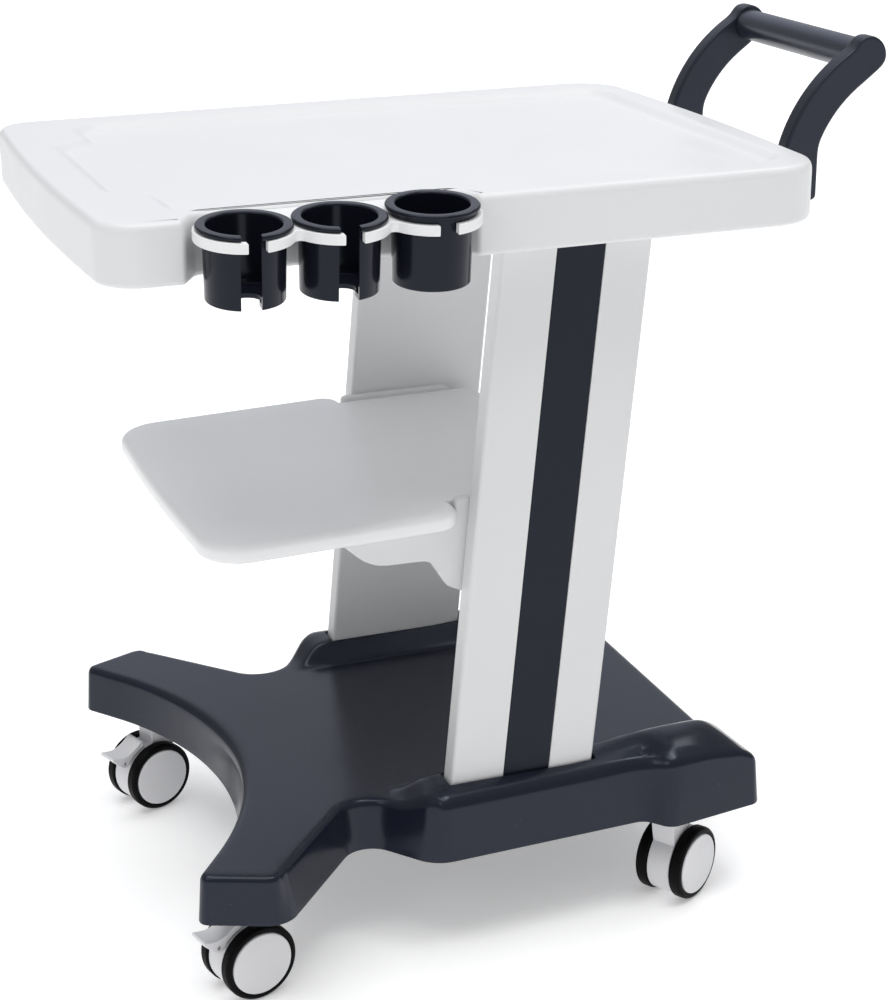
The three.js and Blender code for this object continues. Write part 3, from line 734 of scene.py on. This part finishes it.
def make_shelf():
    outline = fillet(mirrored([
        (0, -303, 2600), (190, -297, 43), (190, -59, 20), (160.6, -59, 0.3), (160.6, 92, 14),
    ]), 6, 25)
    rings = [ring_of(outline, d, 427 - h) for d, h in reversed(edge_steps(4, 5, 4))]
    rings += [ring_of(outline, d, 432 + h) for d, h in edge_steps(9, 8, 8)]
    neck = box(-160.6, -66, 426, 160.6, 80, 442.9)
    # the board rises a little from its front edge to the uprights
    board, faces = skin(rings)
    board[:, 2] += np.clip((board[:, 1] - SHELF_MIDDLE) * SHELF_TILT, -SHELF_RISE, SHELF_RISE)
    piece("shelf_board", [(board, faces)], "frame", "bracket", ["shelf"], add=[neck])
    side = fillet([
        (-174, 421.7, 2), (-141, 391.5, 44), (-84, 390, 14), (-67, 362, 12), (-46, 352, 14), (-18, 352, 14),
        (4, 398, 40), (60, 404, 10), (62, 447.5, 6), (-58.7, 447.5, 5), (-58.7, 424.5, 1),
    ], 6)
    for tag, x0, x1 in (("right", 160.9, 170.3), ("left", -170.3, -160.9)):
        piece("shelf_gusset_" + tag, [block(side, x0, x1, 1.6, way=along_x, steps=4)], "frame",
              "white", ["gusset_" + tag])


# ---------------------------------------------------------------- handle; the arms are drawn as (y, z)
GRIP = (377.5, 817.5)
ARM_CENTRE = (439.0, 694.0)
ARM_INNER, ARM_OUTER = 118.5, 152.5


def evened(points, spacing, passes, held):
    """A closed outline with evenly spaced points and its kinks smoothed, except where held."""
    closed = np.concatenate((points, points[:1]))
    along = np.concatenate(([0], np.cumsum(np.linalg.norm(np.diff(closed, axis=0), axis=1))))
    marks = np.linspace(0, along[-1], int(along[-1] / spacing), endpoint=False)
    even = np.column_stack([np.interp(marks, along, closed[:, i]) for i in (0, 1)])
    fixed = held(even)[:, None]
    for _ in range(passes):
        mixed = (np.roll(even, 1, 0) + 2 * even + np.roll(even, -1, 0)) / 4
        even = np.where(fixed, even, mixed)
    return even


def make_handle():
    away = math.atan2(GRIP[1] - ARM_CENTRE[1], GRIP[0] - ARM_CENTRE[0])
    front_foot = math.pi - math.asin((733 - ARM_CENTRE[1]) / ARM_OUTER)
    rear_foot = math.pi - math.asin((737 - ARM_CENTRE[1]) / ARM_INNER)
    outline = [(291, 685), (323.5, 685)] + arc((323.5, 690), 5, -math.pi / 2, 0, 5)[1:] + [(328.5, 730)]
    outline += arc(ARM_CENTRE, ARM_INNER, rear_foot, away + 0.12, 40)
    outline += arc(GRIP, 20.5, away - math.pi + 0.75, away - 0.35 + math.pi * 0.15, 40)
    outline += arc(ARM_CENTRE, ARM_OUTER, away + 0.04, front_foot, 60)
    outline = evened(np.array(outline), 1.6, 26, lambda points: points[:, 1] < 705)
    for tag, x0 in (("right", 110.0), ("left", -128.0)):
        piece("handle_side_" + tag, [block(outline, x0, x0 + 18, 3.0, way=along_x, steps=5)], "frame",
              "handle", ["handle_arm_" + tag])
    half = 109.6
    profile = [(12.5, -half), (14.6, -half), (15.2, 0.6 - half), (15.2, -half / 3), (15.2, half / 3),
               (15.2, half - 0.6), (14.6, half), (12.5, half)]
    lay = Matrix.Translation((0, *GRIP)) @ Matrix.Rotation(math.pi / 2, 4, "Y")
    # the tube takes the lighter navy that paints in part of its sheen
    piece("grip_tube", [moved(turned(profile, 64), lay)], "frame", "painted_sheen_grip", ["handle_tube"])


# ---------------------------------------------------------------- probe cups and their bracket
CUP_X, CUP_Z = 262.0, 744.5
CUP_TILT = math.radians(4.5)
CUPS = (("front", -274.0, -6.5, 0.0), ("middle", -193.3, -4.2, 0.0), ("rear", -112.6, 0.0, 3.2))


def seat(y, turn=0.0):
    return (Matrix.Translation((CUP_X, y, CUP_Z)) @ Matrix.Rotation(CUP_TILT, 4, "Y")
            @ Matrix.Rotation(math.radians(turn), 4, "Z"))


def rounded_corner(x, y, r, start, end, steps=4):
    return arc((x, y), r, math.radians(start), math.radians(end), steps)


def make_cups():
    for tag, y, turn, lift in CUPS:
        rim = 4.0 - lift
        flange = rounded_corner(38.0, -rim + 2.0, 2.0, -90, 80, 9)
        lip = rounded_corner(33.2, -rim + 1.9, 2.1, 100, 180, 7)
        profile = [(0, -64), (31.4, -64)] + rounded_corner(31.9, -62.5, 1.5, -80, 0)
        profile += [(34.4, -5.5), (34.6, -4.0)]
        if lift:
            profile += [(37.2, -4.0), (37.4, -3.8), (37.4, -rim)]
        profile += flange + lip + [(31.0, -6), (30.5, -57), (29.0, -60), (0, -60)]
        cuts = []
        if not lift:
            half = 8.5
            hole = turned([(0, -80), (11.5, -80), (11.5, -59), (0, -59)], 40)
            cuts = [box(20, -half, -80, 60, half, 20), box(8, -half, -80, 60, half, -59),
                    moved(hole, Matrix.Translation((10, 0, 0)))]
        place = seat(y, turn)
        piece("cup_" + tag, [moved(turned(profile, 96), place)], "cup_" + tag, "cup",
              ["probe_cup_" + tag], cut=[moved(c, place) for c in cuts], bevel=0.0 if lift else 0.5, sharp=45)


def bracket_outline():
    """Three open rings joined into one web, seen along the cups' own axis; u points away from the tray."""
    outer, inner, gap = 42.0, 35.2, 8.0
    blend = 5.0
    points = []
    middles = [y for _, y, _, _ in CUPS]
    pitch = middles[1] - middles[0]
    # a small circle sits between each two rings and rounds the notch between them
    rise = math.sqrt((outer + blend) ** 2 - (pitch / 2) ** 2)
    touch = math.atan2(pitch / 2, rise)
    mouth_out, mouth_in = math.asin(gap / outer), math.asin(gap / inner)
    wall_angle = math.radians(152)
    for i, y in enumerate(middles):
        begin = -wall_angle if i == 0 else -touch
        finish = wall_angle if i == len(middles) - 1 else touch
        points += arc((0, y), outer, begin, -mouth_out - 0.03, 34 if i == 0 else 18)
        points += [(outer * math.cos(mouth_out) - 0.2, y - gap)]
        points += [(inner * math.cos(mouth_in) + 0.4, y - gap)]
        points += arc((0, y), inner, -mouth_in - 0.02, -2 * math.pi + mouth_in + 0.02, 84)
        points += [(inner * math.cos(mouth_in) + 0.4, y + gap)]
        points += [(outer * math.cos(mouth_out) - 0.2, y + gap)]
        points += arc((0, y), outer, mouth_out + 0.03, finish, 34 if i == 2 else 18)
        if i < len(middles) - 1:
            centre = (rise, y + pitch / 2)
            points += arc(centre, blend, math.pi + touch, math.pi - touch, 10)[1:-1]
    wall = -44.0
    points += [(wall, middles[-1] + 21), (wall, middles[0] - 21)]
    return np.array(points)


def make_bracket():
    top, bottom = -4.3, -13.3
    ring = moved(block(bracket_outline(), bottom, top, 0.9, steps=3), seat(0.0))
    plate = block(fillet([(217.8, -291, 2), (225.4, -291, 2), (225.4, -96, 2), (217.8, -96, 2)], 15),
                  722.0, 738.0, 1.2, steps=3)
    piece("probe_rack", [plate], "frame", "bracket", ["probe_bracket"], add=[ring], sharp=40)


# ---------------------------------------------------------------- casters
WHEEL_R, AXLE_R, TRAIL = 37.5, 4.0, 14.0
TREAD_IN, TREAD_OUT = 13.2, 26.0
HOUSING_R, HOUSING_HALF = 35.5, 12.6
PIN = (-37.0, 23.0)  # the brake pedal's hinge, as (y, z) from the axle
CASTERS = (
    ("front_right", 199.6, -267.6, 14.4, True), ("front_left", -199.6, -267.6, 20.4, True),
    ("rear_right", 195.5, 159.3, 212.4, False), ("rear_left", -195.5, 159.3, 155.0, False),
)


def wheel_shells():
    tyre = [(31.3, TREAD_IN + 0.8), (32.2, TREAD_IN)] + rounded_corner(35.3, TREAD_IN + 2.2, 2.2, -90, 0, 5)
    tyre += rounded_corner(33.5, TREAD_OUT - 4, 4, 0, 90, 6) + [(32.2, TREAD_OUT), (31.3, TREAD_OUT - 0.8)]
    hub = [(AXLE_R + 0.3, TREAD_IN), (29.5, TREAD_IN), (30.9, TREAD_IN + 1.2), (30.9, TREAD_OUT - 0.6)]
    hub += rounded_corner(29.4, TREAD_OUT - 0.3, 1.5, 10, 82, 5)
    hub += [(r, TREAD_OUT + 1.25 + 0.95 * (1 - (r / 28.0) ** 2)) for r in (28.0, 24.0, 18.0, 12.0, 6.0)]
    hub += [(0, TREAD_OUT + 2.2), (0, TREAD_OUT - 2), (AXLE_R + 0.3, TREAD_OUT - 2)]
    return turned(tyre, 72), turned(hub, 64)


def on_axle(shell):
    points, faces = shell
    return points + np.array((0.0, -TRAIL, WHEEL_R)), faces


def cross_bore(radius, sides, y=0.0, z=0.0):
    shell = turned([(0, -20), (radius, -20), (radius, 20), (0, 20)], sides)
    return on_axle(moved(shell, Matrix.Translation((0, y, z)) @ Matrix.Rotation(math.pi / 2, 4, "Y")))


def finger(radius, reach):
    """A lug's outline: a round end at the pedal's pin and two parallel sides running toward the axle."""
    far = math.hypot(*PIN)
    u, v = -PIN[0] / far, -PIN[1] / far
    away = math.atan2(u, -v)
    outline = arc(PIN, radius, away, away + math.pi, 24)
    outline.append((PIN[0] + reach * u + radius * v, PIN[1] + reach * v - radius * u))
    outline.append((PIN[0] + reach * u - radius * v, PIN[1] + reach * v + radius * u))
    return np.array(outline)


def bend(a, b, c, steps=8):
    return [((1 - t) ** 2 * a[0] + 2 * t * (1 - t) * b[0] + t * t * c[0],
             (1 - t) ** 2 * a[1] + 2 * t * (1 - t) * b[1] + t * t * c[1])
            for t in (k / steps for k in range(1, steps + 1))]


def caster_housing(braked):
    disc = np.array(arc((0, 0), HOUSING_R, 0, 2 * math.pi, 90)[:-1])
    neck = fillet([(-15, 62, 0), (8, 52, 0), (13, 74, 8), (15, 90, 3), (-16, 90, 3), (-16, 74, 4)], 8)
    shells = [on_axle(block(disc, -HOUSING_HALF, HOUSING_HALF, 1.0, way=along_x, steps=4))]
    add = [block(neck, -HOUSING_HALF, HOUSING_HALF, 1.0, way=along_x, steps=3)]
    add.append(turned([(0, 86), (15.6, 86), (16, 88), (16, 95.6), (15.2, 96.6), (0, 96.6)], 40))
    cut = [turned([(0, 55), (5.9, 55), (5.9, 120), (0, 120)], 24), cross_bore(AXLE_R + 0.3, 24)]
    if braked:
        add.append(on_axle(block(finger(4.5, 14), -4, 4, way=along_x)))
        cut.append(cross_bore(1.9, 20, *PIN))
    return shells, add, cut


def brake_pedal():
    outline = arc((0, 0), 38.3, math.pi - 0.6, math.pi / 2 + 0.34, 14) + [(-13.8, 42.4)]
    outline += bend((-13.8, 42.4), (-15.5, 43.2), (-17.5, 42.0), 4)
    outline += bend((-17.5, 42.0), (-29.0, 31.5), (-38.0, 31.0), 12)
    outline += bend((-38.0, 31.0), (-45.0, 31.0), (-51.0, 33.0), 8)
    outline += bend((-51.0, 33.0), (-53.5, 31.5), (-51.5, 29.0), 4)
    outline += [(-41.5, 19.5)]
    outline += bend((-41.5, 19.5), (-36.5, 15.8), (-31.6, 21.6), 8)[:-1]
    return np.array(outline)


def make_casters():
    tyre, hub = wheel_shells()
    for tag, x, y, angle, braked in CASTERS:
        stand = Matrix.Translation((x, y, 0)) @ Matrix.Rotation(math.radians(angle), 4, "Z")
        shells, add, cut = caster_housing(braked)
        piece("caster_body_" + tag, [moved(s, stand) for s in shells], "caster_" + tag,
              "caster", ["caster_housing_" + tag], add=[moved(s, stand) for s in add],
              cut=[moved(s, stand) for s in cut], bevel=0.35, sharp=42)
        for side, end in ((1, "a"), (-1, "b")):
            spin = stand @ Matrix.Translation((0, -TRAIL, WHEEL_R))
            spin = spin @ Matrix.Rotation(side * math.pi / 2, 4, "Y")
            body = f"wheel_{tag}_{end}"
            piece(f"tread_{tag}_{end}", [moved(tyre, spin)], body, "tyre",
                  [f"tyre_{tag}_{end}"], sharp=50)
            piece(f"disc_{tag}_{end}", [moved(hub, spin)], body, "caster",
                  [f"hub_{tag}_{end}"], sharp=50)
        if braked:
            make_pedal(tag, stand)


def make_pedal(tag, stand):
    width = HOUSING_HALF - 0.2
    visor = on_axle(block(brake_pedal(), -width, width, 0.8, way=along_x, steps=4))
    slot = on_axle(block(finger(6, 20), -4.5, 4.5, way=along_x))
    piece("brake_lever_" + tag, [moved(visor, stand)], "pedal_" + tag, "caster",
          ["brake_pedal_" + tag], cut=[moved(slot, stand), moved(cross_bore(1.9, 20, *PIN), stand)], sharp=42)


# ---------------------------------------------------------------- the scene
make_camera()
make_lights()
LOOKS = make_materials()
make_base()
make_uprights()
make_tray()
make_shelf()
make_handle()
make_cups()
make_bracket()
make_casters()

CASTER_TAGS = [caster[0] for caster in CASTERS]
repaint("frame", "base_plate", "column_right", "column_left", "tray_beam_right", "tray_beam_left",
        "tray_crossbar_front", "tray_crossbar_rear")
repaint("white", "tray_underplate")
repaint("steel", "handle_tie_rod", "handle_bracket_right", "handle_bracket_left",
        "brake_pin_front_right", "brake_pin_front_left",
        *("caster_stem_" + tag for tag in CASTER_TAGS), *("caster_axle_" + tag for tag in CASTER_TAGS))

FAR, FLOOR_Z = 4e4, -0.2
floor = plain_object("studio_floor", [(
    np.array([(x * FAR, y * FAR, FLOOR_Z) for x, y in ((-1, -1), (1, -1), (1, 1), (-1, 1))]),
    [(0, 1, 2, 3)])])
floor.data.materials.append(LOOKS["floor"])
floor_shader = LOOKS["floor"].node_tree.nodes["Principled BSDF"]
floor_shader.inputs["Emission Color"].default_value = (1, 1, 1, 1)
floor_shader.inputs["Emission Strength"].default_value = 0.28
bpy.context.scene.view_settings.view_transform = "Standard"
